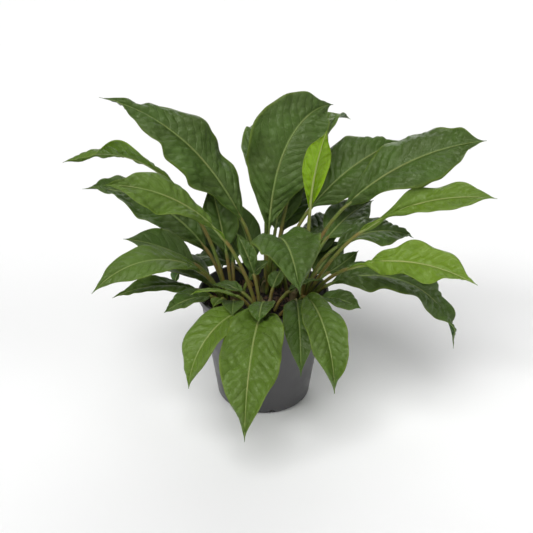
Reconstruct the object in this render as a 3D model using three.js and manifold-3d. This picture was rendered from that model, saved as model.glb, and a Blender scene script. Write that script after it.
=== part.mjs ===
// Potted anthurium: a foliage plant of several crowns in a plain plastic nursery pot.
// Millimetres, +Z up. The origin is the centre of the pot's underside.
import * as THREE from 'three';
import { mergeVertices } from 'three/addons/utils/BufferGeometryUtils.js';
import Module from 'manifold-3d';

const wasm = await Module();
wasm.setup();

// Pot
const POT_HEIGHT = 190;
const RIM_RADIUS = 105;
const BASE_RADIUS = 76;
const WALL = 2;
const FLOOR = 2.5;
const LIP_WIDTH = 2.5;
const LIP_HEIGHT = 9;
const CORNER = 9;
const LIP_BEVEL = 1;
const CORNER_STEPS = 3;
const POT_SIDES = 48;
const DRAIN_COUNT = 8;
const DRAIN_RADIUS = 5;
const DRAIN_SIDES = 12;
const DRAIN_RISE = 3;
const DRAIN_TURN = -80;
const FLOOR_HOLE_RING = 42;

// Soil
const SOIL_EDGE = 160;
const SOIL_CROWN = 168;
const SOIL_BEVEL = 1;
const SOIL_RINGS = 4;
const GAP = 0.4;

// Crowns: the short stems that the leaves grow from
const CROWNS = {
  left: [-46, 4],
  back: [2, 36],
  right: [50, 6],
  front: [4, -38],
};
const CROWN_RADIUS = 7;
const CROWN_HEIGHT = 22;
const CROWN_SIDES = 12;
const CROWN_SHAPE = [[0, 0], [1, 0], [0.9, 0.5], [0.5, 0.9], [0, 1]];
const FOOT_CLEARANCE = 1;

// Leaves
const PETIOLE_RADIUS = 2.2;
const BLADE_THICKNESS = 1.1;
const MIDRIB_THICKNESS = 2.6;
const FOLD = 10;
const PEAK = 0.42;
const FULLNESS = 0.85;
const FOOT_DRAW = 0.5;
const TIP_DRAW = 0.9;
const DRAW_POWER = 4;
const PATH_STEPS = 80;
const PETIOLE_RINGS = 4;
const BLADE_RINGS = 9;
const SECTION_SIDES = 8;

// One row for each leaf, with angles in degrees. heading is the compass direction it leans
// to, 0 = +X and 90 = +Y, and sway is how far that turns by the tip. rise, neck and tip are
// the slope above level at the petiole's foot, at the blade's foot and at the blade's tip.
// ring is how far from its crown's centre it starts. roll and twist turn the blade on its rib.
// peak is where along the blade it is widest, foot is how far its base is drawn out, and a
// bend above 1 keeps the arch near the tip.
const LEAVES = [
  { name: 'leaf_top_left', crown: 'back', ring: 12, heading: 171, petiole: 120, rise: 92, neck: 66,
    tip: 8, blade: 312, width: 94, roll: -38, twist: 20, peak: 0.44, bend: 1.3, foot: 0.9 },
  { name: 'leaf_left_arched', crown: 'left', ring: 13, heading: 180, petiole: 205, rise: 84, neck: 55,
    tip: -28, blade: 195, width: 56, roll: 40, twist: -20, peak: 0.55, foot: 1.0 },
  { name: 'leaf_left_glossy', crown: 'front', ring: 14, heading: 188, petiole: 130, rise: 80, neck: 60,
    tip: 0, blade: 215, width: 66, roll: -30, peak: 0.62, foot: 1.6 },
  { name: 'leaf_left_dark', crown: 'left', ring: 19, heading: 146, sway: 34, petiole: 85, rise: 80,
    neck: 52, tip: -6, blade: 235, width: 96, roll: -32, twist: 30, peak: 0.48 },
  { name: 'leaf_left_short', crown: 'left', ring: 20, heading: 188, petiole: 80, rise: 76, neck: 42,
    tip: 8, blade: 125, width: 62, roll: -30, peak: 0.5, foot: 0.9 },
  { name: 'leaf_left_twisted', crown: 'left', ring: 18, heading: 206, petiole: 66, rise: 70, neck: 50,
    tip: -46, blade: 205, width: 60, roll: -12, twist: -20, peak: 0.5, foot: 0.9 },
  { name: 'leaf_low_left_back', crown: 'left', ring: 24, heading: 162, petiole: 42, rise: 56, neck: 28,
    tip: -34, blade: 120, width: 34 },
  { name: 'leaf_low_left_middle', crown: 'left', ring: 28, heading: 196, petiole: 44, rise: 56, neck: 26,
    tip: -22, blade: 140, width: 38 },
  { name: 'leaf_low_left_front', crown: 'left', ring: 22, heading: 222, petiole: 38, rise: 54, neck: 26,
    tip: -20, blade: 92, width: 40 },
  { name: 'leaf_inner_left', crown: 'left', ring: 13, heading: 118, petiole: 75, rise: 84, neck: 70,
    tip: 52, blade: 120, width: 56, roll: -20 },
  { name: 'leaf_upright', crown: 'back', ring: 14, heading: 40, petiole: 92, rise: 104, neck: 84,
    tip: -14, blade: 272, width: 122, bend: 2.2, peak: 0.6, roll: 48 },
  { name: 'leaf_behind_upright', crown: 'back', ring: 20, heading: 44, petiole: 215, rise: 84, neck: 66,
    tip: -30, blade: 150, width: 56 },
  { name: 'leaf_young', crown: 'right', ring: 16, heading: -40, petiole: 152, rise: 84, neck: 88,
    tip: 70, blade: 146, width: 40, roll: -50, peak: 0.62, foot: 0.8 },
  { name: 'leaf_dark_upright', crown: 'back', ring: 17, heading: 66, petiole: 95, rise: 80, neck: 68,
    tip: 44, blade: 190, width: 76 },
  { name: 'leaf_right_large', crown: 'right', ring: 12, heading: 2, petiole: 172, rise: 88, neck: 49,
    tip: 4, blade: 245, width: 106, roll: 34, twist: -14, peak: 0.56, foot: 0.9 },
  { name: 'leaf_right_back', crown: 'back', ring: 22, heading: 18, petiole: 145, rise: 84, neck: 52,
    tip: 14, blade: 190, width: 104, roll: 25, peak: 0.54 },
  { name: 'leaf_right_middle', crown: 'right', ring: 18, heading: 14, petiole: 100, rise: 84, neck: 36,
    tip: -34, blade: 145, width: 70, roll: 12, peak: 0.5 },
  { name: 'leaf_right_low_back', crown: 'right', ring: 18, heading: 42, petiole: 105, rise: 80, neck: 36,
    tip: 0, blade: 120, width: 68, roll: 20 },
  { name: 'leaf_right_olive', crown: 'right', ring: 19, heading: -14, petiole: 150, rise: 70, neck: 46,
    tip: -4, blade: 222, width: 52, roll: 30, peak: 0.7, foot: 1.4 },
  { name: 'leaf_right_bright', crown: 'right', ring: 22, heading: -28, petiole: 100, rise: 64, neck: 34,
    tip: -22, blade: 215, width: 66, roll: 22, peak: 0.62, foot: 1.2 },
  { name: 'leaf_right_drooping', crown: 'right', ring: 25, heading: -4, petiole: 44, rise: 58, neck: 30,
    tip: -88, blade: 285, width: 80, roll: 12 },
  { name: 'leaf_right_under', crown: 'right', ring: 24, heading: -40, petiole: 38, rise: 56, neck: 22,
    tip: -12, blade: 78, width: 48 },
  { name: 'leaf_right_curled', crown: 'right', ring: 24, heading: 26, petiole: 54, rise: 66, neck: 20,
    tip: 34, blade: 64, width: 34, roll: 20 },
  { name: 'leaf_front_centre', crown: 'back', ring: 15, heading: -77, petiole: 140, rise: 84, neck: 42,
    tip: -58, blade: 165, width: 102, peak: 0.38 },
  { name: 'leaf_front_hanging', crown: 'front', ring: 17, heading: -98, petiole: 32, rise: 56, neck: 22,
    tip: -88, blade: 240, width: 88 },
  { name: 'leaf_front_left_hanging', crown: 'front', ring: 16, heading: -132, petiole: 30,
    rise: 56, neck: 24, tip: -86, blade: 180, width: 64, peak: 0.5 },
  { name: 'leaf_front_small', crown: 'front', ring: 11, heading: -96, petiole: 48, rise: 76, neck: 32,
    tip: -30, blade: 66, width: 40 },
  { name: 'leaf_front_right_short', crown: 'right', ring: 20, heading: -88, petiole: 36, rise: 58,
    neck: 22, tip: -80, blade: 155, width: 50 },
  { name: 'leaf_front_right_hanging', crown: 'right', ring: 20, heading: -74, petiole: 44, rise: 62,
    neck: 26, tip: -88, blade: 200, width: 60, peak: 0.5 },
  { name: 'leaf_narrow_crossing', crown: 'front', ring: 21, heading: 206, petiole: 50, rise: 70,
    neck: 40, tip: -10, blade: 82, width: 26 },
  { name: 'leaf_back_tall', crown: 'back', ring: 26, heading: 88, petiole: 150, rise: 76, neck: 56,
    tip: -14, blade: 215, width: 92, roll: 6 },
  { name: 'leaf_back_wide', crown: 'back', ring: 25, heading: 66, petiole: 90, rise: 68, neck: 50,
    tip: -24, blade: 205, width: 88, roll: -8 },
  { name: 'leaf_back_hanging', crown: 'back', ring: 24, heading: 112, petiole: 42, rise: 58, neck: 24,
    tip: -84, blade: 220, width: 84 },
  { name: 'leaf_back_left', crown: 'left', ring: 23, heading: 130, petiole: 60, rise: 64, neck: 48,
    tip: -36, blade: 190, width: 78, roll: 8 },
  { name: 'leaf_back_left_hanging', crown: 'back', ring: 24, heading: 146, petiole: 42, rise: 54,
    neck: 22, tip: -80, blade: 185, width: 62 },
  { name: 'leaf_back_right', crown: 'right', ring: 22, heading: 64, petiole: 66, rise: 66, neck: 36,
    tip: -44, blade: 195, width: 78, roll: -8 },
  { name: 'leaf_back_right_hanging', crown: 'back', ring: 27, heading: 48, petiole: 42, rise: 54,
    neck: 20, tip: -80, blade: 185, width: 66 },
  { name: 'leaf_inner_right', crown: 'right', ring: 14, heading: 145, petiole: 46, rise: 84, neck: 72,
    tip: 54, blade: 64, width: 38 },
  { name: 'leaf_inner_back', crown: 'back', ring: 27, heading: 24, petiole: 56, rise: 74, neck: 48,
    tip: 4, blade: 105, width: 48 },
  { name: 'leaf_low_left_inner', crown: 'left', ring: 26, heading: 146, petiole: 36, rise: 60, neck: 34,
    tip: -20, blade: 105, width: 42 },
  { name: 'leaf_left_small', crown: 'left', ring: 24, heading: 248, petiole: 38, rise: 64, neck: 28,
    tip: -24, blade: 34, width: 24 },
  { name: 'leaf_centre_narrow', crown: 'front', ring: 16, heading: 128, petiole: 54, rise: 84, neck: 66,
    tip: 36, blade: 76, width: 28 },
  { name: 'leaf_inner_left_back', crown: 'left', ring: 24, heading: 96, petiole: 50, rise: 76, neck: 50,
    tip: 8, blade: 100, width: 46 },
  { name: 'leaf_inner_back_left', crown: 'back', ring: 22, heading: 124, petiole: 40, rise: 80, neck: 66,
    tip: 34, blade: 125, width: 58 },
  { name: 'leaf_inner_left_low', crown: 'left', ring: 20, heading: 170, petiole: 34, rise: 70, neck: 46,
    tip: 4, blade: 90, width: 40 },
  { name: 'leaf_inner_right_low', crown: 'right', ring: 30, heading: 48, petiole: 34, rise: 60, neck: 40,
    tip: -4, blade: 90, width: 44 },
  { name: 'leaf_front_inner_left', crown: 'front', ring: 14, heading: 166, petiole: 38, rise: 68,
    neck: 34, tip: -16, blade: 54, width: 32 },
  { name: 'leaf_left_core', crown: 'left', ring: 12, heading: 12, petiole: 34, rise: 84, neck: 60,
    tip: 20, blade: 50, width: 28 },
  { name: 'leaf_front_core', crown: 'front', ring: 12, heading: 64, petiole: 32, rise: 80, neck: 54,
    tip: 4, blade: 42, width: 26 },
  { name: 'leaf_front_inner_right', crown: 'front', ring: 14, heading: 10, petiole: 40, rise: 72,
    neck: 40, tip: -10, blade: 60, width: 32 },
  { name: 'leaf_left_brim', crown: 'left', ring: 26, heading: 270, petiole: 36, rise: 60, neck: 30,
    tip: -20, blade: 60, width: 34 },
  { name: 'leaf_right_brim', crown: 'front', ring: 24, heading: -22, petiole: 30, rise: 58, neck: 26,
    tip: -24, blade: 54, width: 32 },
];

const degrees = THREE.MathUtils.degToRad;

function material(colour, roughness) {
  return new THREE.MeshStandardMaterial({ color: colour, roughness, metalness: 0 });
}

const POT_PLASTIC = material(0x3f4044, 0.5);
const SOIL_MATERIAL = material(0x2a211b, 0.95);
const CROWN_MATERIAL = material(0x6b6a3a, 0.7);
const LEAF_MATERIAL = material(0x3f6527, 0.35);

function named(name, geometry, finish) {
  const mesh = new THREE.Mesh(geometry, finish.clone());
  mesh.name = name;
  return mesh;
}

// A body of revolution about Z from [radius, height] points.
function turned(points, sides = POT_SIDES) {
  const profile = points.map(([radius, height]) => new THREE.Vector2(radius, height));
  return new THREE.LatheGeometry(profile, sides).rotateX(Math.PI / 2);
}

function toSolid(geometry) {
  const bare = geometry.clone();
  bare.deleteAttribute('normal');
  bare.deleteAttribute('uv');
  const merged = mergeVertices(bare, 1e-4);
  return new wasm.Manifold(new wasm.Mesh({
    numProp: 3,
    vertProperties: new Float32Array(merged.attributes.position.array),
    triVerts: new Uint32Array(merged.index.array),
  }));
}

function toGeometry(solid) {
  const mesh = solid.getMesh();
  const geometry = new THREE.BufferGeometry();
  geometry.setAttribute('position', new THREE.BufferAttribute(mesh.vertProperties, 3));
  geometry.setIndex(new THREE.BufferAttribute(mesh.triVerts, 1));
  return geometry;
}

function outerRadius(height) {
  return BASE_RADIUS + (RIM_RADIUS - LIP_WIDTH - BASE_RADIUS) * (height / POT_HEIGHT);
}

function potShell() {
  const lipFoot = POT_HEIGHT - LIP_HEIGHT;
  const corner = [];
  for (let step = 0; step <= CORNER_STEPS; step += 1) {
    const angle = degrees(90 * step / CORNER_STEPS);
    corner.push([
      outerRadius(CORNER) - CORNER + CORNER * Math.sin(angle),
      CORNER - CORNER * Math.cos(angle),
    ]);
  }
  return turned([
    [0, 0],
    ...corner,
    [outerRadius(lipFoot), lipFoot],
    [RIM_RADIUS, lipFoot + LIP_BEVEL],
    [RIM_RADIUS, POT_HEIGHT - LIP_BEVEL],
    [RIM_RADIUS - LIP_BEVEL, POT_HEIGHT],
    [outerRadius(POT_HEIGHT) - WALL, POT_HEIGHT],
    [outerRadius(CORNER) - WALL, CORNER],
    [outerRadius(CORNER) - CORNER, FLOOR],
    [0, FLOOR],
  ]);
}

// Drain openings: a ring of them through the bottom corner and a ring through the floor.
function pot() {
  let solid = toSolid(potShell());
  for (let index = 0; index < DRAIN_COUNT; index += 1) {
    const angle = degrees(360 / DRAIN_COUNT * index + DRAIN_TURN);
    const edge = new THREE.CylinderGeometry(DRAIN_RADIUS, DRAIN_RADIUS, 2 * CORNER, DRAIN_SIDES)
      .rotateZ(Math.PI / 2).translate(BASE_RADIUS, 0, DRAIN_RISE).rotateZ(angle);
    const floor = new THREE.CylinderGeometry(DRAIN_RADIUS, DRAIN_RADIUS, 4 * FLOOR, DRAIN_SIDES)
      .rotateX(Math.PI / 2).translate(FLOOR_HOLE_RING, 0, 0).rotateZ(angle);
    solid = solid.subtract(toSolid(edge)).subtract(toSolid(floor));
  }
  return named('pot', toGeometry(solid), POT_PLASTIC);
}

function soilHeight(radius) {
  return SOIL_CROWN - (SOIL_CROWN - SOIL_EDGE) * (radius / RIM_RADIUS) ** 2;
}

function soil() {
  const wallAt = (height) => outerRadius(height) - WALL - GAP;
  const top = [];
  for (let step = 0; step <= SOIL_RINGS; step += 1) {
    const radius = wallAt(SOIL_EDGE) * (1 - step / SOIL_RINGS);
    top.push([radius, soilHeight(radius)]);
  }
  const floorHeight = FLOOR + GAP;
  return named('soil', turned([
    [0, floorHeight],
    [outerRadius(CORNER) - CORNER - GAP, floorHeight],
    [wallAt(CORNER) - SOIL_BEVEL, CORNER + SOIL_BEVEL],
    ...top,
  ]), SOIL_MATERIAL);
}

function crown(name, [x, y]) {
  const foot = soilHeight(Math.hypot(x, y)) + FOOT_CLEARANCE;
  const profile = CROWN_SHAPE.map(([out, up]) => [CROWN_RADIUS * out, CROWN_HEIGHT * up]);
  const geometry = turned(profile, CROWN_SIDES);
  return named(`crown_${name}`, geometry.translate(x, y, foot), CROWN_MATERIAL);
}

// The places along a leaf's rib, evenly spaced in length from its foot to its tip.
function ribPath(leaf) {
  const { heading, sway = 0, petiole, blade, rise, neck, tip, ring, bend = 1 } = leaf;
  const [x, y] = CROWNS[leaf.crown];
  const out = degrees(heading);
  const point = new THREE.Vector3(x + ring * Math.cos(out), y + ring * Math.sin(out), 0);
  point.z = soilHeight(Math.hypot(point.x, point.y)) + PETIOLE_RADIUS + FOOT_CLEARANCE;
  const total = petiole + blade;
  const stride = total / PATH_STEPS;
  const places = [];
  for (let step = 0; step <= PATH_STEPS; step += 1) {
    const along = step * stride;
    const slope = along < petiole
      ? rise + (neck - rise) * (along / petiole)
      : neck + (tip - neck) * ((along - petiole) / blade) ** bend;
    const turn = degrees(heading + sway * (along / total));
    const flat = Math.cos(degrees(slope));
    const forward = new THREE.Vector3(
      Math.cos(turn) * flat, Math.sin(turn) * flat, Math.sin(degrees(slope)));
    const side = new THREE.Vector3(-Math.sin(turn), Math.cos(turn), 0);
    places.push({ point: point.clone(), forward, side, along });
    point.addScaledVector(forward, stride);
  }
  return places;
}

// Half-width of a blade as a share of its widest, from its foot at 0 to its tip at 1. The
// power grows at both ends, which draws the foot and the tip out.
function bladeProfile(t, peak = PEAK, foot = FOOT_DRAW) {
  const shift = Math.log(0.5) / Math.log(peak);
  const draw = FULLNESS + foot * (1 - t) ** DRAW_POWER + TIP_DRAW * t ** DRAW_POWER;
  return Math.sin(Math.PI * t ** shift) ** draw;
}

// Eight corners of a leaf's section as [across, above] in its own frame.
function section(leaf, t) {
  if (t <= 0) {
    return Array.from({ length: SECTION_SIDES }, (_, index) => {
      const angle = degrees(360 / SECTION_SIDES * index);
      return [PETIOLE_RADIUS * Math.cos(angle), PETIOLE_RADIUS * Math.sin(angle)];
    });
  }
  const half = Math.max(leaf.width / 2 * bladeProfile(t, leaf.peak, leaf.foot), PETIOLE_RADIUS);
  const lift = Math.tan(degrees(FOLD));
  const rib = THREE.MathUtils.lerp(MIDRIB_THICKNESS, BLADE_THICKNESS, t);
  const across = [1, 0.5, 0, -0.5, -1, -0.5, 0, 0.5];
  const skin = BLADE_THICKNESS / 2;
  const thickness = [0, skin, 0, skin, 0, -skin, -rib, -skin];
  return across.map((share, index) => {
    const bow = Math.abs(share) * (1 - 0.5 * Math.abs(share));
    return [share * half, half * lift * bow + thickness[index]];
  });
}

function leafMesh(leaf) {
  const places = ribPath(leaf);
  const total = leaf.petiole + leaf.blade;
  const evenly = (count, length) => Array.from({ length: count }, (_, ring) => length * ring / count);
  const stops = [
    ...evenly(PETIOLE_RINGS, leaf.petiole),
    ...evenly(BLADE_RINGS, leaf.blade).map((along) => leaf.petiole + along),
  ];
  const vertices = [];
  for (const stop of stops) {
    const place = places[Math.round(stop / total * PATH_STEPS)];
    const t = (stop - leaf.petiole) / leaf.blade;
    const roll = degrees((leaf.roll ?? 0) + (leaf.twist ?? 0) * Math.max(t, 0));
    const side = place.side.clone().applyAxisAngle(place.forward, roll);
    const above = new THREE.Vector3().crossVectors(place.forward, side);
    for (const [across, lift] of section(leaf, t)) {
      const corner = place.point.clone().addScaledVector(side, across).addScaledVector(above, lift);
      vertices.push(corner);
    }
  }
  // The upper four strips and the lower four are split along matching diagonals, so that the
  // two skins of a twisted blade stay parallel.
  const faces = [];
  for (let ring = 0; ring < stops.length - 1; ring += 1) {
    for (let index = 0; index < SECTION_SIDES; index += 1) {
      const a = ring * SECTION_SIDES + index;
      const b = ring * SECTION_SIDES + (index + 1) % SECTION_SIDES;
      const c = b + SECTION_SIDES;
      const d = a + SECTION_SIDES;
      if (index < SECTION_SIDES / 2) faces.push(a, b, d, b, c, d);
      else faces.push(a, b, c, a, c, d);
    }
  }
  const last = (stops.length - 1) * SECTION_SIDES;
  const tip = vertices.length;
  vertices.push(places[PATH_STEPS].point);
  for (let index = 0; index < SECTION_SIDES; index += 1) {
    faces.push(last + index, last + (index + 1) % SECTION_SIDES, tip);
  }
  for (let index = 1; index < SECTION_SIDES - 1; index += 1) faces.push(0, index + 1, index);
  const geometry = new THREE.BufferGeometry().setFromPoints(vertices);
  geometry.setIndex(faces);
  return named(leaf.name, geometry, LEAF_MATERIAL);
}

const group = new THREE.Group();
group.add(pot(), soil());
for (const [name, place] of Object.entries(CROWNS)) group.add(crown(name, place));
for (const leaf of LEAVES) group.add(leafMesh(leaf));

export default group;
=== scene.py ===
# Potted anthurium: a foliage plant of several crowns in a plain plastic nursery pot.
# Metres, +Z up. The origin is the centre of the pot's underside.
import math
import random

import bmesh
import bpy
from mathutils import Matrix, Vector, noise


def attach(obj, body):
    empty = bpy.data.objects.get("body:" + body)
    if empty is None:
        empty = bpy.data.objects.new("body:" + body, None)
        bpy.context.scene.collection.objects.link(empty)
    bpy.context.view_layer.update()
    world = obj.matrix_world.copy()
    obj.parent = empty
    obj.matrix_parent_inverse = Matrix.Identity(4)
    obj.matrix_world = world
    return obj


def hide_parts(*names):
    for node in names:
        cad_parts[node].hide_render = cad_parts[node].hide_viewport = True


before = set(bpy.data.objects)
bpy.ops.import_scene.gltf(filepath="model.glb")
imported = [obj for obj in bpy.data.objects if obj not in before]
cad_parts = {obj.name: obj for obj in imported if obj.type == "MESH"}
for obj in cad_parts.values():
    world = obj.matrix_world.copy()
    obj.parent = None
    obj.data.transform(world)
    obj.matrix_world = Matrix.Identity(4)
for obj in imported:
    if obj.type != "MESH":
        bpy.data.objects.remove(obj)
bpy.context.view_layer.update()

MM = 0.001

# Camera
CAMERA_DISTANCE = 1.2
CAMERA_HEIGHT = 0.827
CAMERA_SIDE = 0.005
CAMERA_PITCH = 26.4
LENS = 57.0
SENSOR_WIDTH = 36

# Soft suns: name, lean from overhead, turn round the plant, softness in degrees, and strength
SUNS = (
    ("soft_box", 30, -20, 44, 2.1),
    ("key_light", 52, -56, 18, 0.9),
    ("right_light", 56, 62, 24, 0.45),
    ("back_light", 58, 172, 50, 1.2),
)

# World light straight above, at the horizon, and how high the change between them reaches
CEILING = 0.09
COVE = 0.7
COVE_HEIGHT = 0.16
FLOOR_REACH = 30
FLOOR_COLOUR = (0.9, 0.9, 0.9, 1)
FLOOR_ROUGHNESS = 0.9

# Pot, in millimetres, as its CAD node has it
POT_HEIGHT = 190
RIM_RADIUS = 105
BASE_RADIUS = 76
WALL = 2
FLOOR = 2.5
LIP_WIDTH = 2.5
LIP_HEIGHT = 9
CORNER = 9
POT_SIDES = 144
DRAIN_COUNT = 8
DRAIN_RADIUS = 5
DRAIN_RISE = 3
DRAIN_TURN = -80
FLOOR_HOLE_RING = 42

# Soil
SOIL_EDGE = 160
SOIL_CROWN = 168
GAP = 0.4
CRUMBS = 900
CRUMB_SIZES = (1.0, 3.4)
CRUMB_MARGIN = 6
CRUMB_LIFT = 0.3
CRUMB_ROUGHNESS = 0.35
CRUMB_STRETCH = ((0.8, 2.2), (0.6, 1.1), (0.4, 0.8))

# Bumps of the soil: height and size in millimetres, and how far its surface sinks between them
CLOD_HEIGHT = 2.2
CLOD_SIZE = 14
GRAIN_HEIGHT = 1.3
GRAIN_SIZE = 4
SOIL_SINK = 0.6

# Crowns
CROWNS = {"left": (-46, 4), "back": (2, 36), "right": (50, 6), "front": (4, -38)}
CROWN_RADIUS = 7
CROWN_HEIGHT = 22
SHEATHS = 7
SHEATH_HEIGHTS = (18, 30)
SHEATH_THICKNESS = 0.4

# Leaves
PETIOLE_RADIUS = 2.2
BLADE_THICKNESS = 0.6
FOLD = 11
PEAK = 0.42
FULLNESS = 0.85
FOOT_DRAW = 0.5
TIP_DRAW = 0.9
DRAW_POWER = 4
NARROWEST = 0.25
PATH_STEPS = 80
ACROSS = 32
ALONG = 96
OLD_YOUTH = 0.04

# Petiole: how much wider it is than its CAD radius, how far it thins and where it stops
PETIOLE_SWELL = 1.3
PETIOLE_THINNING = 0.82
PETIOLE_END = 0.985

# Side veins: their spacing in millimetres, how they sweep forward, and how far they stray
VEIN_SPACING = 16
VEIN_SWEEP = 0.75
VEIN_CURVE = 0.35
VEIN_STRAY = 0.55
VEIN_JITTER = 0.3

# Relief and waves: heights, and the sizes of the patches they come in, in millimetres
QUILT = 3.0
QUILT_BASE = 1.4
SWELL = 2.6
CRUMPLE = 3.0
CRUMPLE_SIZE = 9
RUFFLE = 15.0
RUFFLE_SIZE = 42
BILLOW = 20.0
BILLOW_SIZE = 70
GROOVE_DEPTH = 1.0
GROOVE_WIDTH = 2.6
FULL_RELIEF_WIDTH = 75

# Uneven margins: a share of the half-width, its size in millimetres, and its upper limit
MARGIN_WAVE = 0.10
MARGIN_WAVE_SIZE = 30
MARGIN_LIMIT = 1.03

# Shares of the full relief and waves on leaves that lie close to a neighbour
CALM = {
    "leaf_left_brim": 0.1, "leaf_left_small": 0.2, "leaf_front_left_hanging": 0.5,
    "leaf_low_left_inner": 0.1, "leaf_low_left_back": 0.2, "leaf_left_short": 0.3,
    "leaf_left_twisted": 0.5, "leaf_inner_back_left": 0.2, "leaf_inner_left_back": 0.2,
    "leaf_inner_back": 0.2, "leaf_right_low_back": 0.4, "leaf_right_brim": 0.1,
    "leaf_front_right_short": 0.5,
}

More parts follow.
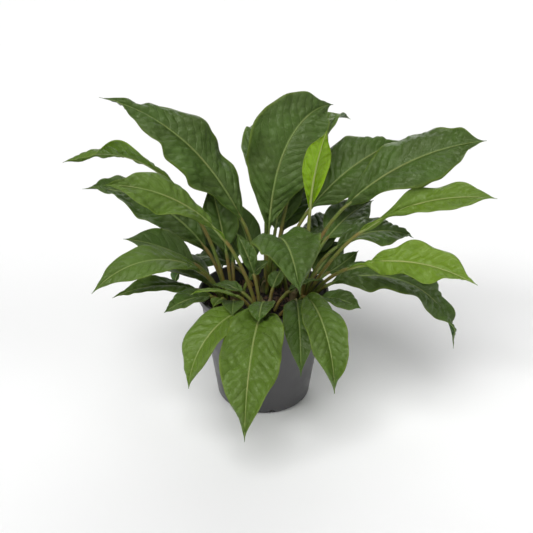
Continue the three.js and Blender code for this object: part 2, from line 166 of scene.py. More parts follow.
# One row for each leaf, in millimetres and degrees, with the growth values of its CAD node.
# youth runs from 0, an old dark leaf, to 1, a new yellow-green one.
LEAVES = [
    {"name": "leaf_top_left", "crown": "back", "ring": 12, "heading": 171, "petiole": 120, "rise": 92,
     "neck": 66, "tip": 8, "blade": 312, "width": 94, "roll": -38, "twist": 20, "peak": 0.44,
     "bend": 1.3, "foot": 0.9},
    {"name": "leaf_left_arched", "crown": "left", "ring": 13, "heading": 180, "petiole": 205,
     "rise": 84, "neck": 55, "tip": -28, "blade": 195, "width": 56, "roll": 40, "twist": -20,
     "peak": 0.55, "foot": 1.0, "youth": 0.35},
    {"name": "leaf_left_glossy", "crown": "front", "ring": 14, "heading": 188, "petiole": 130,
     "rise": 80, "neck": 60, "tip": 0, "blade": 215, "width": 66, "roll": -30, "peak": 0.62,
     "foot": 1.6, "youth": 0.35},
    {"name": "leaf_left_dark", "crown": "left", "ring": 19, "heading": 146, "sway": 34, "petiole": 85,
     "rise": 80, "neck": 52, "tip": -6, "blade": 235, "width": 96, "roll": -32, "twist": 30,
     "peak": 0.48},
    {"name": "leaf_left_short", "crown": "left", "ring": 20, "heading": 188, "petiole": 80, "rise": 76,
     "neck": 42, "tip": 8, "blade": 125, "width": 62, "roll": -30, "peak": 0.5, "foot": 0.9},
    {"name": "leaf_left_twisted", "crown": "left", "ring": 18, "heading": 206, "petiole": 66,
     "rise": 70, "neck": 50, "tip": -46, "blade": 205, "width": 60, "roll": -12, "twist": -20,
     "peak": 0.5, "foot": 0.9, "youth": 0.25},
    {"name": "leaf_low_left_back", "crown": "left", "ring": 24, "heading": 162, "petiole": 42,
     "rise": 56, "neck": 28, "tip": -34, "blade": 120, "width": 34},
    {"name": "leaf_low_left_middle", "crown": "left", "ring": 28, "heading": 196, "petiole": 44,
     "rise": 56, "neck": 26, "tip": -22, "blade": 140, "width": 38, "youth": 0.2},
    {"name": "leaf_low_left_front", "crown": "left", "ring": 22, "heading": 222, "petiole": 38,
     "rise": 54, "neck": 26, "tip": -20, "blade": 92, "width": 40},
    {"name": "leaf_inner_left", "crown": "left", "ring": 13, "heading": 118, "petiole": 75, "rise": 84,
     "neck": 70, "tip": 52, "blade": 120, "width": 56, "roll": -20},
    {"name": "leaf_upright", "crown": "back", "ring": 14, "heading": 40, "petiole": 92, "rise": 104,
     "neck": 84, "tip": -14, "blade": 272, "width": 122, "bend": 2.2, "peak": 0.6, "roll": 48},
    {"name": "leaf_behind_upright", "crown": "back", "ring": 20, "heading": 44, "petiole": 215,
     "rise": 84, "neck": 66, "tip": -30, "blade": 150, "width": 56, "youth": 0.2},
    {"name": "leaf_young", "crown": "right", "ring": 16, "heading": -40, "petiole": 152, "rise": 84,
     "neck": 88, "tip": 70, "blade": 146, "width": 40, "roll": -50, "peak": 0.62, "foot": 0.8,
     "youth": 0.95},
    {"name": "leaf_dark_upright", "crown": "back", "ring": 17, "heading": 66, "petiole": 95,
     "rise": 80, "neck": 68, "tip": 44, "blade": 190, "width": 76},
    {"name": "leaf_right_large", "crown": "right", "ring": 12, "heading": 2, "petiole": 172,
     "rise": 88, "neck": 49, "tip": 4, "blade": 245, "width": 106, "roll": 34, "twist": -14,
     "peak": 0.56, "foot": 0.9},
    {"name": "leaf_right_back", "crown": "back", "ring": 22, "heading": 18, "petiole": 145, "rise": 84,
     "neck": 52, "tip": 14, "blade": 190, "width": 104, "roll": 25, "peak": 0.54},
    {"name": "leaf_right_middle", "crown": "right", "ring": 18, "heading": 14, "petiole": 100,
     "rise": 84, "neck": 36, "tip": -34, "blade": 145, "width": 70, "roll": 12, "peak": 0.5},
    {"name": "leaf_right_low_back", "crown": "right", "ring": 18, "heading": 42, "petiole": 105,
     "rise": 80, "neck": 36, "tip": 0, "blade": 120, "width": 68, "roll": 20},
    {"name": "leaf_right_olive", "crown": "right", "ring": 19, "heading": -14, "petiole": 150,
     "rise": 70, "neck": 46, "tip": -4, "blade": 222, "width": 52, "roll": 30, "peak": 0.7,
     "foot": 1.4, "youth": 0.6},
    {"name": "leaf_right_bright", "crown": "right", "ring": 22, "heading": -28, "petiole": 100,
     "rise": 64, "neck": 34, "tip": -22, "blade": 215, "width": 66, "roll": 22, "peak": 0.62,
     "foot": 1.2, "youth": 0.9},
    {"name": "leaf_right_drooping", "crown": "right", "ring": 25, "heading": -4, "petiole": 44,
     "rise": 58, "neck": 30, "tip": -88, "blade": 285, "width": 80, "roll": 12},
    {"name": "leaf_right_under", "crown": "right", "ring": 24, "heading": -40, "petiole": 38,
     "rise": 56, "neck": 22, "tip": -12, "blade": 78, "width": 48},
    {"name": "leaf_right_curled", "crown": "right", "ring": 24, "heading": 26, "petiole": 54,
     "rise": 66, "neck": 20, "tip": 34, "blade": 64, "width": 34, "roll": 20},
    {"name": "leaf_front_centre", "crown": "back", "ring": 15, "heading": -77, "petiole": 140,
     "rise": 84, "neck": 42, "tip": -58, "blade": 165, "width": 102, "peak": 0.38},
    {"name": "leaf_front_hanging", "crown": "front", "ring": 17, "heading": -98, "petiole": 32,
     "rise": 56, "neck": 22, "tip": -88, "blade": 240, "width": 88, "youth": 0.32},
    {"name": "leaf_front_left_hanging", "crown": "front", "ring": 16, "heading": -132, "petiole": 30,
     "rise": 56, "neck": 24, "tip": -86, "blade": 180, "width": 64, "peak": 0.5, "youth": 0.45},
    {"name": "leaf_front_small", "crown": "front", "ring": 11, "heading": -96, "petiole": 48,
     "rise": 76, "neck": 32, "tip": -30, "blade": 66, "width": 40},
    {"name": "leaf_front_right_short", "crown": "right", "ring": 20, "heading": -88, "petiole": 36,
     "rise": 58, "neck": 22, "tip": -80, "blade": 155, "width": 50},
    {"name": "leaf_front_right_hanging", "crown": "right", "ring": 20, "heading": -74, "petiole": 44,
     "rise": 62, "neck": 26, "tip": -88, "blade": 200, "width": 60, "peak": 0.5, "youth": 0.22},
    {"name": "leaf_narrow_crossing", "crown": "front", "ring": 21, "heading": 206, "petiole": 50,
     "rise": 70, "neck": 40, "tip": -10, "blade": 82, "width": 26, "youth": 0.4},
    {"name": "leaf_back_tall", "crown": "back", "ring": 26, "heading": 88, "petiole": 150, "rise": 76,
     "neck": 56, "tip": -14, "blade": 215, "width": 92, "roll": 6},
    {"name": "leaf_back_wide", "crown": "back", "ring": 25, "heading": 66, "petiole": 90, "rise": 68,
     "neck": 50, "tip": -24, "blade": 205, "width": 88, "roll": -8},
    {"name": "leaf_back_hanging", "crown": "back", "ring": 24, "heading": 112, "petiole": 42,
     "rise": 58, "neck": 24, "tip": -84, "blade": 220, "width": 84},
    {"name": "leaf_back_left", "crown": "left", "ring": 23, "heading": 130, "petiole": 60, "rise": 64,
     "neck": 48, "tip": -36, "blade": 190, "width": 78, "roll": 8},
    {"name": "leaf_back_left_hanging", "crown": "back", "ring": 24, "heading": 146, "petiole": 42,
     "rise": 54, "neck": 22, "tip": -80, "blade": 185, "width": 62},
    {"name": "leaf_back_right", "crown": "right", "ring": 22, "heading": 64, "petiole": 66, "rise": 66,
     "neck": 36, "tip": -44, "blade": 195, "width": 78, "roll": -8},
    {"name": "leaf_back_right_hanging", "crown": "back", "ring": 27, "heading": 48, "petiole": 42,
     "rise": 54, "neck": 20, "tip": -80, "blade": 185, "width": 66},
    {"name": "leaf_inner_right", "crown": "right", "ring": 14, "heading": 145, "petiole": 46,
     "rise": 84, "neck": 72, "tip": 54, "blade": 64, "width": 38},
    {"name": "leaf_inner_back", "crown": "back", "ring": 27, "heading": 24, "petiole": 56, "rise": 74,
     "neck": 48, "tip": 4, "blade": 105, "width": 48},
    {"name": "leaf_low_left_inner", "crown": "left", "ring": 26, "heading": 146, "petiole": 36,
     "rise": 60, "neck": 34, "tip": -20, "blade": 105, "width": 42},
    {"name": "leaf_left_small", "crown": "left", "ring": 24, "heading": 248, "petiole": 38, "rise": 64,
     "neck": 28, "tip": -24, "blade": 34, "width": 24, "youth": 0.6},
    {"name": "leaf_centre_narrow", "crown": "front", "ring": 16, "heading": 128, "petiole": 54,
     "rise": 84, "neck": 66, "tip": 36, "blade": 76, "width": 28},
    {"name": "leaf_inner_left_back", "crown": "left", "ring": 24, "heading": 96, "petiole": 50,
     "rise": 76, "neck": 50, "tip": 8, "blade": 100, "width": 46},
    {"name": "leaf_inner_back_left", "crown": "back", "ring": 22, "heading": 124, "petiole": 40,
     "rise": 80, "neck": 66, "tip": 34, "blade": 125, "width": 58},
    {"name": "leaf_inner_left_low", "crown": "left", "ring": 20, "heading": 170, "petiole": 34,
     "rise": 70, "neck": 46, "tip": 4, "blade": 90, "width": 40},
    {"name": "leaf_inner_right_low", "crown": "right", "ring": 30, "heading": 48, "petiole": 34,
     "rise": 60, "neck": 40, "tip": -4, "blade": 90, "width": 44},
    {"name": "leaf_front_inner_left", "crown": "front", "ring": 14, "heading": 166, "petiole": 38,
     "rise": 68, "neck": 34, "tip": -16, "blade": 54, "width": 32},
    {"name": "leaf_left_core", "crown": "left", "ring": 12, "heading": 12, "petiole": 34, "rise": 84,
     "neck": 60, "tip": 20, "blade": 50, "width": 28},
    {"name": "leaf_front_core", "crown": "front", "ring": 12, "heading": 64, "petiole": 32, "rise": 80,
     "neck": 54, "tip": 4, "blade": 42, "width": 26},
    {"name": "leaf_front_inner_right", "crown": "front", "ring": 14, "heading": 10, "petiole": 40,
     "rise": 72, "neck": 40, "tip": -10, "blade": 60, "width": 32},
    {"name": "leaf_left_brim", "crown": "left", "ring": 26, "heading": 270, "petiole": 36, "rise": 60,
     "neck": 30, "tip": -20, "blade": 60, "width": 34},
    {"name": "leaf_right_brim", "crown": "front", "ring": 24, "heading": -22, "petiole": 30,
     "rise": 58, "neck": 26, "tip": -24, "blade": 54, "width": 32},
]


# Growth

def soil_height(radius):
    return SOIL_CROWN - (SOIL_CROWN - SOIL_EDGE) * (radius / RIM_RADIUS) ** 2


class Rib:
    """The line of a leaf from its foot in the soil to its tip."""

    def __init__(self, leaf):
        self.leaf = leaf
        self.total = leaf["petiole"] + leaf["blade"]
        x, y = CROWNS[leaf["crown"]]
        out = math.radians(leaf["heading"])
        point = Vector((x + leaf["ring"] * math.cos(out), y + leaf["ring"] * math.sin(out), 0))
        point.z = soil_height(math.hypot(point.x, point.y)) + PETIOLE_RADIUS + 1
        self.stride = self.total / PATH_STEPS
        self.places = []
        for step in range(PATH_STEPS + 1):
            forward, side = self.directions(step * self.stride)
            self.places.append((point.copy(), forward, side))
            point += forward * self.stride

    def directions(self, along):
        leaf = self.leaf
        if along < leaf["petiole"]:
            slope = leaf["rise"] + (leaf["neck"] - leaf["rise"]) * along / leaf["petiole"]
        else:
            t = min((along - leaf["petiole"]) / leaf["blade"], 1)
            slope = leaf["neck"] + (leaf["tip"] - leaf["neck"]) * t ** leaf.get("bend", 1)
        turn = math.radians(leaf["heading"] + leaf.get("sway", 0) * along / self.total)
        slope = math.radians(slope)
        flat = math.cos(slope)
        forward = Vector((math.cos(turn) * flat, math.sin(turn) * flat, math.sin(slope)))
        return forward, Vector((-math.sin(turn), math.cos(turn), 0))

    def at(self, along):
        place = min(max(along / self.stride, 0), PATH_STEPS - 1e-6)
        step = int(place)
        share = place - step
        point = self.places[step][0].lerp(self.places[step + 1][0], share)
        forward, side = self.directions(along)
        t = max((along - self.leaf["petiole"]) / self.leaf["blade"], 0)
        roll = math.radians(self.leaf.get("roll", 0) + self.leaf.get("twist", 0) * t)
        side = Matrix.Rotation(roll, 3, forward) @ side
        return point, side, forward.cross(side)


def blade_profile(t, peak, foot):
    shift = math.log(0.5) / math.log(peak)
    draw = FULLNESS + foot * (1 - t) ** DRAW_POWER + TIP_DRAW * t ** DRAW_POWER
    return max(math.sin(math.pi * t ** shift), 0) ** draw


def smooth(low, high, value):
    share = min(max((value - low) / (high - low), 0), 1)
    return share * share * (3 - 2 * share)


# Leaves

def shape_blade(bm, leaf, rib, seed):
    """Lay a flat grid along the rib, with its fold, quilting between the veins and ruffled edge."""
    vein = bm.verts.layers.float.new("vein")
    edge = bm.verts.layers.float.new("edge")
    length = leaf["blade"]
    lift = math.tan(math.radians(FOLD))
    for vert in bm.verts:
        u = 2 * vert.co.x
        t = vert.co.y + 0.5
        reach = abs(u)
        wave = noise.noise(Vector((t * length / MARGIN_WAVE_SIZE, seed * 4.1, math.copysign(2, u))))
        wave = min(1 + MARGIN_WAVE * wave, MARGIN_LIMIT)
        share = blade_profile(t, leaf.get("peak", PEAK), leaf.get("foot", FOOT_DRAW))
        half = max(leaf["width"] / 2 * share * wave, NARROWEST)
        if t < 0.3:
            half = max(half, PETIOLE_RADIUS * (1 - t))
        point, side, above = rib.at(leaf["petiole"] + length * t)
        wander = noise.noise(Vector((t * 5, seed * 3.7, math.copysign(1, u))))
        sweep = VEIN_SWEEP + VEIN_CURVE * reach
        jitter = noise.noise(Vector((reach * 2.2, t * 8, seed * 1.7 + u)))
        flow = t * length / VEIN_SPACING - reach * half / VEIN_SPACING * sweep
        flow += VEIN_STRAY * wander + VEIN_JITTER * jitter
        ends = smooth(0, 0.12, t) * (1 - smooth(0.85, 1, t))
        puff = abs(math.sin(math.pi * flow)) ** 0.7
        crumple = noise.noise(Vector((u * half / CRUMPLE_SIZE, t * length / CRUMPLE_SIZE, seed * 2.3)))
        inside = smooth(0.02, 0.25, reach) * (1 - smooth(0.8, 1, reach)) * ends
        quilt = (QUILT * puff + CRUMPLE * crumple) * inside - QUILT_BASE * ends
        quilt += SWELL * reach * ends * math.sin(math.pi * flow / 2 + 3 * wander)
        groove = -GROOVE_DEPTH * math.exp(-((reach * half / GROOVE_WIDTH) ** 2))
        ruffle = noise.noise(Vector((t * length / RUFFLE_SIZE, seed * 1.9, 4 + u)))
        ruffle *= RUFFLE * reach ** 2.5 * ends
        billow = noise.noise(Vector((t * length / BILLOW_SIZE, seed * 5.3, u * 1.2)))
        billow *= BILLOW * reach * ends
        bow = reach * (1 - 0.5 * reach)
        scale = min(leaf["width"] / FULL_RELIEF_WIDTH, 1) * CALM.get(leaf["name"], 1)
        height = half * lift * bow + groove + (quilt + ruffle + billow) * scale
        vert.co = (point + side * (u * half) + above * height) * MM
        vert[vein] = flow
        vert[edge] = reach


def thicken(bm, thickness):
    """Close a sheet into a thin body, with its underside marked."""
    under = bm.verts.layers.float.new("under")
    bm.normal_update()
    top = list(bm.faces)
    rim = [edge for edge in bm.edges if edge.is_boundary]
    copy = bmesh.ops.duplicate(bm, geom=list(bm.verts) + list(bm.edges) + top)
    twin = copy["vert_map"]
    normals = {vert: vert.normal.copy() for face in top for vert in face.verts}
    for vert, normal in normals.items():
        twin[vert].co = vert.co - normal * thickness
        twin[vert][under] = 1
    faces = [item for item in copy["geom"] if isinstance(item, bmesh.types.BMFace)]
    bmesh.ops.reverse_faces(bm, faces=faces)
    far_rim = {edge for face in faces for edge in face.edges if edge.is_boundary}
    bmesh.ops.bridge_loops(bm, edges=rim + list(far_rim))


def stalk(bm, leaf, rib):
    """The round petiole, which runs on under the blade as its midrib and thins to the tip."""
    layer = bm.verts.layers.float.new("stalk")
    under = bm.verts.layers.float["under"]
    verts = bmesh.ops.create_grid(bm, x_segments=12, y_segments=48, size=0.5)["verts"]
    for vert in verts:
        angle = 2 * math.pi * vert.co.x
        share = vert.co.y + 0.5
        t = max((rib.total * share - leaf["petiole"]) / leaf["blade"], 0)
        radius = PETIOLE_RADIUS * PETIOLE_SWELL * (1 - PETIOLE_THINNING * t ** 0.6)
        point, side, above = rib.at(rib.total * share * PETIOLE_END)
        sink = (radius * 0.7 + 0.5) * smooth(0, 0.08, t)
        vert.co = (point - above * sink + side * radius * math.cos(angle)
                   + above * radius * math.sin(angle)) * MM
        vert[layer] = 1 + t
        vert[under] = 1
    bmesh.ops.remove_doubles(bm, verts=verts, dist=1e-6)
    open_edges = [edge for edge in bm.edges if edge.is_boundary]
    bmesh.ops.holes_fill(bm, edges=open_edges, sides=0)


def leaf_piece(leaf, seed):
    rib = Rib(leaf)
    bm = bmesh.new()
    bmesh.ops.create_grid(bm, x_segments=ACROSS, y_segments=ALONG, size=0.5)
    shape_blade(bm, leaf, rib, seed)
    thicken(bm, BLADE_THICKNESS * MM)
    stalk(bm, leaf, rib)
    youth = bm.verts.layers.float.new("youth")
    for vert in bm.verts:
        vert[youth] = leaf.get("youth", OLD_YOUTH)
    return finished(bm, leaf["name"] + "_fine", leaf_finish, leaf["name"])


def finished(bm, name, finish, node):
    """Turn a built mesh into a smooth object that stands for its CAD node."""
    bmesh.ops.recalc_face_normals(bm, faces=bm.faces)
    mesh = bpy.data.meshes.new(name)
    bm.to_mesh(mesh)
    bm.free()
    mesh.shade_smooth()
    mesh.materials.append(finish)
    piece = bpy.data.objects.new(name, mesh)
    bpy.context.scene.collection.objects.link(piece)
    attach(piece, "root")
    if node:
        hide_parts(node)
    return piece


# Pot, soil and crowns

def outer_radius(height):
    return BASE_RADIUS + (RIM_RADIUS - LIP_WIDTH - BASE_RADIUS) * height / POT_HEIGHT


def spun(points, sides):
    """A closed body of revolution from [radius, height] points that start and end on the axis."""
    bm = bmesh.new()
    verts = [bm.verts.new((radius * MM, 0, height * MM)) for radius, height in points]
    edges = [bm.edges.new(pair) for pair in zip(verts, verts[1:])]
    bmesh.ops.spin(bm, geom=verts + edges, cent=(0, 0, 0), axis=(0, 0, 1),
                   angle=2 * math.pi, steps=sides, use_merge=True)
    bmesh.ops.remove_doubles(bm, verts=bm.verts, dist=1e-6)
    bmesh.ops.recalc_face_normals(bm, faces=bm.faces)
    return bm


def arc(centre, radius, start, end, steps):
    turns = (math.radians(start + (end - start) * step / steps) for step in range(steps + 1))
    return [(centre[0] + radius * math.cos(turn), centre[1] + radius * math.sin(turn)) for turn in turns]


def pot_piece():
    lip_foot = POT_HEIGHT - LIP_HEIGHT
    top_inner = outer_radius(POT_HEIGHT) - WALL
    wall_steps = [(outer_radius(height), height) for height in (40, 80, 120, 150)]
    bm = spun([
        (0, 0), *arc((outer_radius(CORNER) - CORNER, CORNER), CORNER, -90, 0, 8), *wall_steps,
        (outer_radius(lip_foot), lip_foot), *arc((RIM_RADIUS - 1, lip_foot + 1), 1, -90, 0, 3),
        *arc((RIM_RADIUS - 1, POT_HEIGHT - 1), 1, 0, 90, 4),
        *arc((top_inner + 0.8, POT_HEIGHT - 0.8), 0.8, 90, 180, 4),
        (outer_radius(CORNER) - WALL, CORNER), (outer_radius(CORNER) - CORNER, FLOOR), (0, FLOOR),
    ], POT_SIDES)
    pot = finished(bm, "pot_fine", pot_finish, "pot")
    cutters = bmesh.new()
    for index in range(DRAIN_COUNT):
        turn = Matrix.Rotation(math.radians(360 / DRAIN_COUNT * index + DRAIN_TURN), 4, "Z")
        edge = Matrix.Translation((BASE_RADIUS * MM, 0, DRAIN_RISE * MM))
        edge = edge @ Matrix.Rotation(math.pi / 2, 4, "Y")
        floor = Matrix.Translation((FLOOR_HOLE_RING * MM, 0, 0))
        for place, depth in ((edge, 2 * CORNER), (floor, 4 * FLOOR)):
            bmesh.ops.create_cone(cutters, cap_ends=True, segments=28, radius1=DRAIN_RADIUS * MM,
                                  radius2=DRAIN_RADIUS * MM, depth=depth * MM, matrix=turn @ place)
    cut_mesh = bpy.data.meshes.new("drain_cutters")
    cutters.to_mesh(cut_mesh)
    cutters.free()
    cutter = bpy.data.objects.new("drain_cutters", cut_mesh)
    bpy.context.scene.collection.objects.link(cutter)
    cut = pot.modifiers.new("drains", "BOOLEAN")
    cut.object = cutter
    cut.solver = "EXACT"
    depsgraph = bpy.context.evaluated_depsgraph_get()
    drilled = bpy.data.meshes.new_from_object(pot.evaluated_get(depsgraph))
    pot.modifiers.clear()
    pot.data = drilled
    bpy.data.objects.remove(cutter)
    return pot


def soil_piece():
    bm = bmesh.new()
    bmesh.ops.create_grid(bm, x_segments=110, y_segments=110, size=1)
    brim = outer_radius(SOIL_EDGE) - WALL - GAP
    for vert in bm.verts:
        x = vert.co.x * math.sqrt(1 - vert.co.y ** 2 / 2) * brim
        y = vert.co.y * math.sqrt(1 - vert.co.x ** 2 / 2) * brim
        clods = CLOD_HEIGHT * noise.noise(Vector((x, y, 1)) / CLOD_SIZE)
        rough = clods + GRAIN_HEIGHT * noise.noise(Vector((x, y, 5)) / GRAIN_SIZE)
        vert.co = Vector((x, y, soil_height(math.hypot(x, y)) + rough - SOIL_SINK)) * MM
    edges = [edge for edge in bm.edges if edge.is_boundary]
    for height in (110, 60, CORNER + 2, FLOOR + GAP):
        made = bmesh.ops.extrude_edge_only(bm, edges=edges)["geom"]
        radius = outer_radius(max(height, CORNER)) - WALL - GAP - (CORNER if height < CORNER else 0)
        for item in made:
            if isinstance(item, bmesh.types.BMVert):
                away = Vector((item.co.x, item.co.y, 0)).normalized() * radius
                item.co = Vector((away.x, away.y, height)) * MM
        edges = [item for item in made if isinstance(item, bmesh.types.BMEdge) and item.is_boundary]
    bmesh.ops.holes_fill(bm, edges=edges, sides=0)
    return finished(bm, "soil_fine", soil_finish, "soil")


def crumbs_piece(draw):
    """Loose bark, peat and fibre on top of the soil."""
    bm = bmesh.new()
    tone = bm.verts.layers.float.new("tone")
    brim = outer_radius(SOIL_EDGE) - WALL - CRUMB_MARGIN
    for _ in range(CRUMBS):
        radius = brim * math.sqrt(draw.random())
        angle = draw.uniform(0, 2 * math.pi)
        size = draw.uniform(*CRUMB_SIZES)
        height = soil_height(radius) + size * CRUMB_LIFT
        place = Vector((radius * math.cos(angle), radius * math.sin(angle), height))
        spin = Matrix.Rotation(draw.uniform(0, math.pi), 4, Vector((draw.random(), draw.random(), 1)))
        stretch = Matrix.Diagonal((*(draw.uniform(*ends) for ends in CRUMB_STRETCH), 1))
        matrix = Matrix.Translation(place * MM) @ spin @ stretch
        verts = bmesh.ops.create_icosphere(bm, subdivisions=2, radius=size * MM, matrix=matrix)["verts"]
        shade = draw.random()
        for vert in verts:
            vert.co += CRUMB_ROUGHNESS * MM * noise.noise_vector(vert.co / MM * 0.9)
            vert[tone] = shade
    return finished(bm, "soil_crumbs", crumb_finish, None)


def crown_piece(name, place, draw):
    """A short stem wrapped in the dry sheaths of old leaves."""
    foot = soil_height(math.hypot(*place)) + 0.6
    bm = spun([(0, 0), (CROWN_RADIUS, 0), (CROWN_RADIUS * 0.95, CROWN_HEIGHT * 0.3),
               (CROWN_RADIUS * 0.8, CROWN_HEIGHT * 0.6), (CROWN_RADIUS * 0.45, CROWN_HEIGHT * 0.85),
               (0, CROWN_HEIGHT)], 32)
    for index in range(SHEATHS):
        turn = 2 * math.pi * index / SHEATHS + draw.uniform(-0.3, 0.3)
        tall = draw.uniform(*SHEATH_HEIGHTS)
        sheath = bmesh.new()
        bmesh.ops.create_grid(sheath, x_segments=8, y_segments=14, size=0.5)
        for vert in sheath.verts:
            t = vert.co.y + 0.5
            angle = turn + vert.co.x * 1.5 * (1 - t ** 2 * 0.94)
            radius = CROWN_RADIUS + 0.6 + 3.2 * t ** 2 + 0.5 * noise.noise(Vector((angle * 3, t * 4, index)))
            vert.co = Vector((radius * math.cos(angle), radius * math.sin(angle), tall * t)) * MM
        thicken(sheath, SHEATH_THICKNESS * MM)
        bmesh.ops.recalc_face_normals(sheath, faces=sheath.faces)
        scrap = bpy.data.meshes.new("sheath")
        sheath.to_mesh(scrap)
        sheath.free()
        bm.from_mesh(scrap)
        bpy.data.meshes.remove(scrap)
    bmesh.ops.translate(bm, verts=bm.verts, vec=Vector((*place, foot)) * MM)
    return finished(bm, f"crown_{name}_fine", crown_finish, f"crown_{name}")


# Finishes

FRESH = (0.16, 0.33, 0.004, 1), (0.29, 0.45, 0.012, 1)
MATURE = (0.006, 0.038, 0.0005, 1), (0.021, 0.092, 0.0020, 1)
VEIN_COLOURS = (0.20, 0.29, 0.09, 1), (0.46, 0.54, 0.18, 1)
MARGIN_COLOUR = (0.26, 0.36, 0.02, 1)
UNDERSIDE = (0.085, 0.125, 0.025, 1)
PETIOLE_COLOURS = (0.13, 0.19, 0.030, 1), (0.20, 0.135, 0.035, 1)
GLOSS_LEVEL = 0.46
GLOSS_TINT = (0.92, 1.0, 0.76, 1)
PLASTIC = (0.060, 0.059, 0.062, 1), (0.086, 0.084, 0.087, 1)
POTTING_MIX = (0.008, 0.006, 0.004, 1), (0.040, 0.025, 0.016, 1)
PEAT = (0.010, 0.007, 0.005, 1), (0.035, 0.022, 0.014, 1)
BARK = (0.05, 0.026, 0.014, 1), (0.12, 0.065, 0.035, 1)
DRY_SHEATH = (0.10, 0.065, 0.03, 1), (0.26, 0.19, 0.09, 1)
GREEN_SHEATH = (0.08, 0.11, 0.03, 1), (0.15, 0.17, 0.05, 1)


class Nodes:
    """Short ways to add and join the nodes of one material."""

    def __init__(self, name):
        self.material = bpy.data.materials.new(name)
        self.material.use_nodes = True
        self.tree = self.material.node_tree
        self.shader = self.tree.nodes["Principled BSDF"]
        self.place = self.tree.nodes.new("ShaderNodeTexCoord").outputs["Object"]

    def put(self, socket, value):
        if isinstance(value, bpy.types.NodeSocket):
            self.tree.links.new(value, socket)
        else:
            socket.default_value = value

    def attribute(self, name):
        node = self.tree.nodes.new("ShaderNodeAttribute")
        node.attribute_name = name
        return node.outputs["Fac"]

    def maths(self, operation, first, second):
        node = self.tree.nodes.new("ShaderNodeMath")
        node.operation = operation
        for socket, value in zip(node.inputs, (first, second)):
            self.put(socket, value)
        return node.outputs[0]

    def between(self, value, low, high, start=0.0, end=1.0):
        node = self.tree.nodes.new("ShaderNodeMapRange")
        node.interpolation_type = "SMOOTHSTEP"
        for name, item in (("Value", value), ("From Min", low), ("From Max", high),
                           ("To Min", start), ("To Max", end)):
            self.put(node.inputs[name], item)
        return node.outputs["Result"]

    def mix(self, share, first, second):
        node = self.tree.nodes.new("ShaderNodeMix")
        node.data_type = "RGBA"
        self.put(node.inputs[0], share)
        self.put(node.inputs[6], first)
        self.put(node.inputs[7], second)
        return node.outputs[2]

    def noise(self, scale, detail=3.0):
        node = self.tree.nodes.new("ShaderNodeTexNoise")
        self.put(node.inputs["Vector"], self.place)
        node.inputs["Scale"].default_value = scale
        node.inputs["Detail"].default_value = detail
        return node.outputs["Fac"]

    def cells(self, scale):
        node = self.tree.nodes.new("ShaderNodeTexVoronoi")
        node.feature = "DISTANCE_TO_EDGE"
        self.put(node.inputs["Vector"], self.place)
        node.inputs["Scale"].default_value = scale
        return node.outputs["Distance"]

    def bump(self, height, distance, strength=1.0):
        node = self.tree.nodes.new("ShaderNodeBump")
        node.inputs["Strength"].default_value = strength
        node.inputs["Distance"].default_value = distance
        self.put(node.inputs["Height"], height)
        self.put(self.shader.inputs["Normal"], node.outputs["Normal"])


def leaf_material():
    n = Nodes("glossy_leaf")
    vein, edge, youth = n.attribute("vein"), n.attribute("edge"), n.attribute("youth")
    under, stem = n.attribute("under"), n.attribute("stalk")
    patch = n.noise(22, 4)
    fresh = n.mix(patch, *FRESH)
    mature = n.mix(n.between(patch, 0.3, 0.7), *MATURE)
    blade = n.mix(youth, mature, fresh)
    line = n.between(n.maths("PINGPONG", vein, 0.5), 0.02, 0.11, 1.0, 0.0)
    line = n.maths("MULTIPLY", line, n.between(edge, 0.7, 0.97, 1.0, 0.0))
    pale = n.mix(youth, *VEIN_COLOURS)
    paler = n.mix(0.16, blade, pale)
    blade = n.mix(n.maths("MULTIPLY", line, 0.75), blade, paler)
    margin = n.mix(0.42, blade, MARGIN_COLOUR)
    blade = n.mix(n.between(edge, 0.9, 1.0), blade, margin)
    rib = n.between(edge, 0.0, 0.07, 1.0, 0.0)
    blade = n.mix(n.maths("MULTIPLY", rib, 0.75), blade, pale)
    below = n.mix(0.5, blade, UNDERSIDE)
    blade = n.mix(under, blade, below)
    petiole = n.mix(n.between(n.noise(30), 0.35, 0.7), *PETIOLE_COLOURS)
    shaft = n.mix(n.between(stem, 1.0, 1.15), petiole, n.mix(0.35, pale, petiole))
    n.put(n.shader.inputs["Base Color"], n.mix(n.between(stem, 0.4, 0.9), blade, shaft))
    gloss = n.between(n.noise(90), 0.3, 0.7, 0.16, 0.27)
    n.put(n.shader.inputs["Roughness"], n.maths("ADD", gloss, n.maths("MULTIPLY", under, 0.18)))
    n.shader.inputs["Specular IOR Level"].default_value = GLOSS_LEVEL
    n.shader.inputs["Specular Tint"].default_value = GLOSS_TINT
    net = n.between(n.cells(330), 0.0, 0.12)
    pucker = n.maths("MULTIPLY", n.noise(150, 2), 5.0)
    relief = n.maths("ADD", n.maths("ADD", net, pucker), n.maths("MULTIPLY", line, -1.8))
    n.bump(relief, 0.0004, 0.7)
    return n.material


def pot_material():
    n = Nodes("grey_plastic")
    cloud = n.noise(18, 4)
    n.put(n.shader.inputs["Base Color"], n.mix(cloud, *PLASTIC))
    n.put(n.shader.inputs["Roughness"], n.between(n.noise(45, 5), 0.3, 0.7, 0.36, 0.52))
    n.bump(n.noise(1400, 2), 0.0002, 0.25)
    return n.material


def soil_material():
    n = Nodes("potting_mix")
    grain = n.mix(n.between(n.noise(260, 5), 0.4, 0.62), *POTTING_MIX)
    n.put(n.shader.inputs["Base Color"], grain)
    n.put(n.shader.inputs["Roughness"], n.between(n.noise(120), 0.3, 0.7, 0.8, 1.0))
    n.bump(n.noise(420, 6), 0.0015, 0.9)
    return n.material


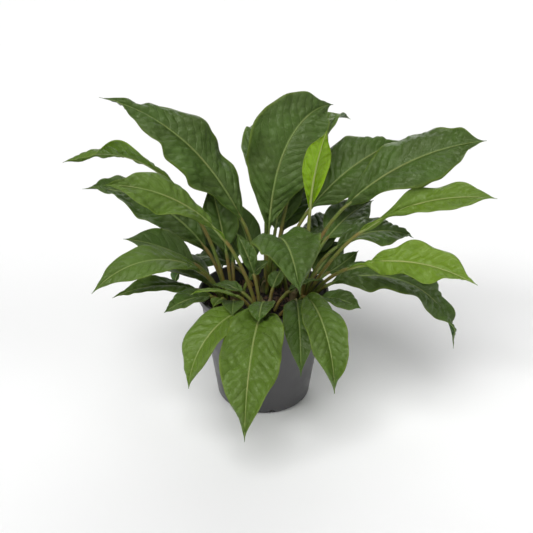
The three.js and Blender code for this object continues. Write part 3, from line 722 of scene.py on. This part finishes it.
def crumb_material():
    n = Nodes("bark_and_peat")
    tone = n.attribute("tone")
    dark = n.mix(n.noise(300), *PEAT)
    bark = n.mix(n.noise(300), *BARK)
    n.put(n.shader.inputs["Base Color"], n.mix(n.between(tone, 0.62, 0.7), dark, bark))
    n.put(n.shader.inputs["Roughness"], n.between(n.noise(200), 0.3, 0.7, 0.75, 1.0))
    n.bump(n.noise(900, 4), 0.0006, 0.8)
    return n.material


def crown_material():
    n = Nodes("dry_sheath")
    dry = n.mix(n.noise(140, 5), *DRY_SHEATH)
    green = n.mix(n.noise(90), *GREEN_SHEATH)
    n.put(n.shader.inputs["Base Color"], n.mix(n.between(n.noise(35), 0.45, 0.6), green, dry))
    n.put(n.shader.inputs["Roughness"], n.between(n.noise(160), 0.3, 0.7, 0.6, 0.85))
    n.bump(n.noise(700, 4), 0.0005, 0.7)
    return n.material


# Studio

def studio():
    floor_bm = bmesh.new()
    bmesh.ops.create_grid(floor_bm, x_segments=1, y_segments=1, size=FLOOR_REACH)
    mesh = bpy.data.meshes.new("floor")
    floor_bm.to_mesh(mesh)
    floor_bm.free()
    floor = bpy.data.objects.new("floor", mesh)
    bpy.context.scene.collection.objects.link(floor)
    pale = bpy.data.materials.new("pale_floor")
    pale.use_nodes = True
    shader = pale.node_tree.nodes["Principled BSDF"]
    shader.inputs["Base Color"].default_value = FLOOR_COLOUR
    shader.inputs["Roughness"].default_value = FLOOR_ROUGHNESS
    mesh.materials.append(pale)
    world = bpy.data.worlds.new("studio")
    world.use_nodes = True
    tree = world.node_tree
    around = tree.nodes.new("ShaderNodeTexCoord")
    split = tree.nodes.new("ShaderNodeSeparateXYZ")
    fade = tree.nodes.new("ShaderNodeMapRange")
    fade.interpolation_type = "SMOOTHSTEP"
    for name, value in (("From Min", 0.0), ("From Max", COVE_HEIGHT), ("To Min", COVE),
                        ("To Max", CEILING)):
        fade.inputs[name].default_value = value
    tree.nodes["Background"].inputs["Color"].default_value = (1, 1, 1, 1)
    tree.links.new(around.outputs["Generated"], split.inputs["Vector"])
    tree.links.new(split.outputs["Z"], fade.inputs["Value"])
    tree.links.new(fade.outputs["Result"], tree.nodes["Background"].inputs["Strength"])
    bpy.context.scene.world = world
    bpy.context.scene.view_settings.view_transform = "Standard"
    for name, lean, turn, softness, power in SUNS:
        lamp = bpy.data.lights.new(name, "SUN")
        lamp.energy = power
        lamp.angle = math.radians(softness)
        light = bpy.data.objects.new(name, lamp)
        light.rotation_euler = (math.radians(lean), 0, math.radians(turn))
        bpy.context.scene.collection.objects.link(light)


def camera():
    lens = bpy.data.cameras.new("camera")
    lens.sensor_width = SENSOR_WIDTH
    lens.lens = LENS
    eye = bpy.data.objects.new("camera", lens)
    eye.location = (CAMERA_SIDE, -CAMERA_DISTANCE, CAMERA_HEIGHT)
    eye.rotation_euler = (math.radians(90 - CAMERA_PITCH), 0, 0)
    bpy.context.scene.collection.objects.link(eye)
    bpy.context.scene.camera = eye


camera()
studio()
leaf_finish = leaf_material()
pot_finish = pot_material()
soil_finish = soil_material()
crumb_finish = crumb_material()
crown_finish = crown_material()

pot_piece()
soil_piece()
crumbs_piece(random.Random(4))
for number, (crown_name, crown_place) in enumerate(CROWNS.items()):
    crown_piece(crown_name, crown_place, random.Random(number))
for number, row in enumerate(LEAVES):
    leaf_piece(row, number)
